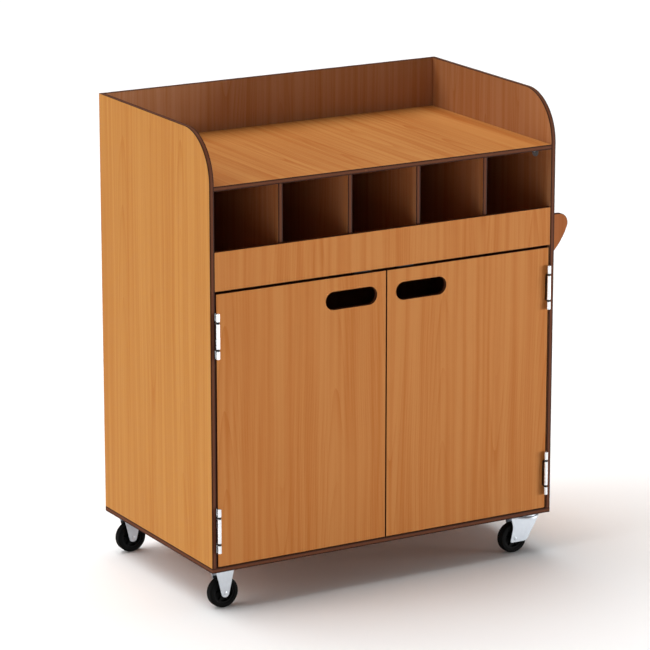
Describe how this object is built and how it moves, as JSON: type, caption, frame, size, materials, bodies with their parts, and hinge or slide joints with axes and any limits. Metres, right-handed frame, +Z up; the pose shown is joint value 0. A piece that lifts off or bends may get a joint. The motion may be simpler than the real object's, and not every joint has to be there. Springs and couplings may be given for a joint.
{
  "type": "mobile counter cabinet",
  "caption": "Wheeled cabinet of beech-pattern boards: railed counter over a row of open bins, hinged doors with hand slots, end push handle, swivel casters at the handle end",
  "frame": {"origin": "on the floor under the middle of the whole outline, handle and hinge knuckles included", "axes": "X to the right seen from the front with the push handle at +X, Y to the back so the doors face -Y, Z up"},
  "size_m": [1.036, 0.5705, 1.157],
  "materials": {
    "beech_laminate": "beech-pattern laminate on 12 mm board, satin, with dark cut edges",
    "dowel_wood": "plain beech dowel",
    "bar_wood": "turned beech, lacquered",
    "grey_bracket": "grey painted steel plate",
    "catch_plastic": "dark plastic with a magnet face",
    "nylon": "black nylon",
    "tyre_rubber": "black solid rubber",
    "hub_plastic": "black moulded plastic",
    "zinc_steel": "pressed steel, bright zinc plated",
    "bright_steel": "polished nickel-plated steel",
    "screw_steel": "zinc-plated steel"
  },
  "bodies": {
    "cabinet": {"base_panel": "beech_laminate", "left_side_panel": "beech_laminate", "right_side_panel": "beech_laminate", "back_panel": "beech_laminate", "countertop": "beech_laminate", "bin_floor": "beech_laminate", "apron": "beech_laminate", "bin_divider_1": "beech_laminate", "bin_divider_2": "beech_laminate", "bin_divider_3": "beech_laminate", "bin_divider_4": "beech_laminate", "shelf": "beech_laminate", "shelf_pins": "screw_steel", "panel_dowels": "dowel_wood", "counter_brackets": "grey_bracket", "fitting_screws": "screw_steel", "handle_cheek_front": "beech_laminate", "handle_cheek_rear": "beech_laminate", "handle_bar": "bar_wood", "handle_screws": "screw_steel", "door_catches": "catch_plastic", "left_upper_frame_leaf": "bright_steel", "left_lower_frame_leaf": "bright_steel", "right_upper_frame_leaf": "bright_steel", "right_lower_frame_leaf": "bright_steel", "hinge_bushes": "nylon", "front_left_rigid_fork": "zinc_steel", "rear_left_rigid_fork": "zinc_steel", "rigid_axles": "zinc_steel", "front_right_top_plate": "zinc_steel", "rear_right_top_plate": "zinc_steel", "swivel_kingpins": "zinc_steel", "race_balls": "screw_steel", "caster_screws": "screw_steel"},
    "left_door": {"left_door": "beech_laminate", "left_upper_door_leaf": "bright_steel", "left_lower_door_leaf": "bright_steel", "left_upper_hinge_pin": "bright_steel", "left_lower_hinge_pin": "bright_steel", "left_door_screws": "screw_steel", "left_strike_plate": "zinc_steel"},
    "right_door": {"right_door": "beech_laminate", "right_upper_door_leaf": "bright_steel", "right_lower_door_leaf": "bright_steel", "right_upper_hinge_pin": "bright_steel", "right_lower_hinge_pin": "bright_steel", "right_door_screws": "screw_steel", "right_strike_plate": "zinc_steel"},
    "front_left_wheel": {"front_left_tyre": "tyre_rubber", "front_left_hub": "hub_plastic"},
    "rear_left_wheel": {"rear_left_tyre": "tyre_rubber", "rear_left_hub": "hub_plastic"},
    "front_right_wheel": {"front_right_tyre": "tyre_rubber", "front_right_hub": "hub_plastic"},
    "rear_right_wheel": {"rear_right_tyre": "tyre_rubber", "rear_right_hub": "hub_plastic"},
    "front_right_swivel": {"front_right_swivel_fork": "zinc_steel", "front_right_axle": "zinc_steel"},
    "rear_right_swivel": {"rear_right_swivel_fork": "zinc_steel", "rear_right_axle": "zinc_steel"}
  },
  "joints": [
    {"name": "left_door_hinge", "type": "hinge", "parent": "cabinet", "child": "left_door", "pos_m": [-0.501, -0.28025, 0.441], "axis": [0, 0, -1], "range_deg": [0, 180]},
    {"name": "right_door_hinge", "type": "hinge", "parent": "cabinet", "child": "right_door", "pos_m": [0.415, -0.28025, 0.441], "axis": [0, 0, 1], "range_deg": [0, 180]},
    {"name": "front_left_wheel_spin", "type": "hinge", "parent": "cabinet", "child": "front_left_wheel", "pos_m": [-0.4705, -0.23475, 0.038], "axis": [0, 1, 0], "continuous": true},
    {"name": "rear_left_wheel_spin", "type": "hinge", "parent": "cabinet", "child": "rear_left_wheel", "pos_m": [-0.4705, 0.24525, 0.038], "axis": [0, 1, 0], "continuous": true},
    {"name": "front_right_swivel_turn", "type": "hinge", "parent": "cabinet", "child": "front_right_swivel", "pos_m": [0.3845, -0.23475, 0.093], "axis": [0, 0, 1], "continuous": true},
    {"name": "front_right_wheel_spin", "type": "hinge", "parent": "front_right_swivel", "child": "front_right_wheel", "pos_m": [0.3475, -0.23475, 0.038], "axis": [0, 1, 0], "continuous": true},
    {"name": "rear_right_swivel_turn", "type": "hinge", "parent": "cabinet", "child": "rear_right_swivel", "pos_m": [0.3845, 0.24525, 0.093], "axis": [0, 0, 1], "continuous": true},
    {"name": "rear_right_wheel_spin", "type": "hinge", "parent": "rear_right_swivel", "child": "rear_right_wheel", "pos_m": [0.3475, 0.24525, 0.038], "axis": [0, 1, 0], "continuous": true}
  ]
}
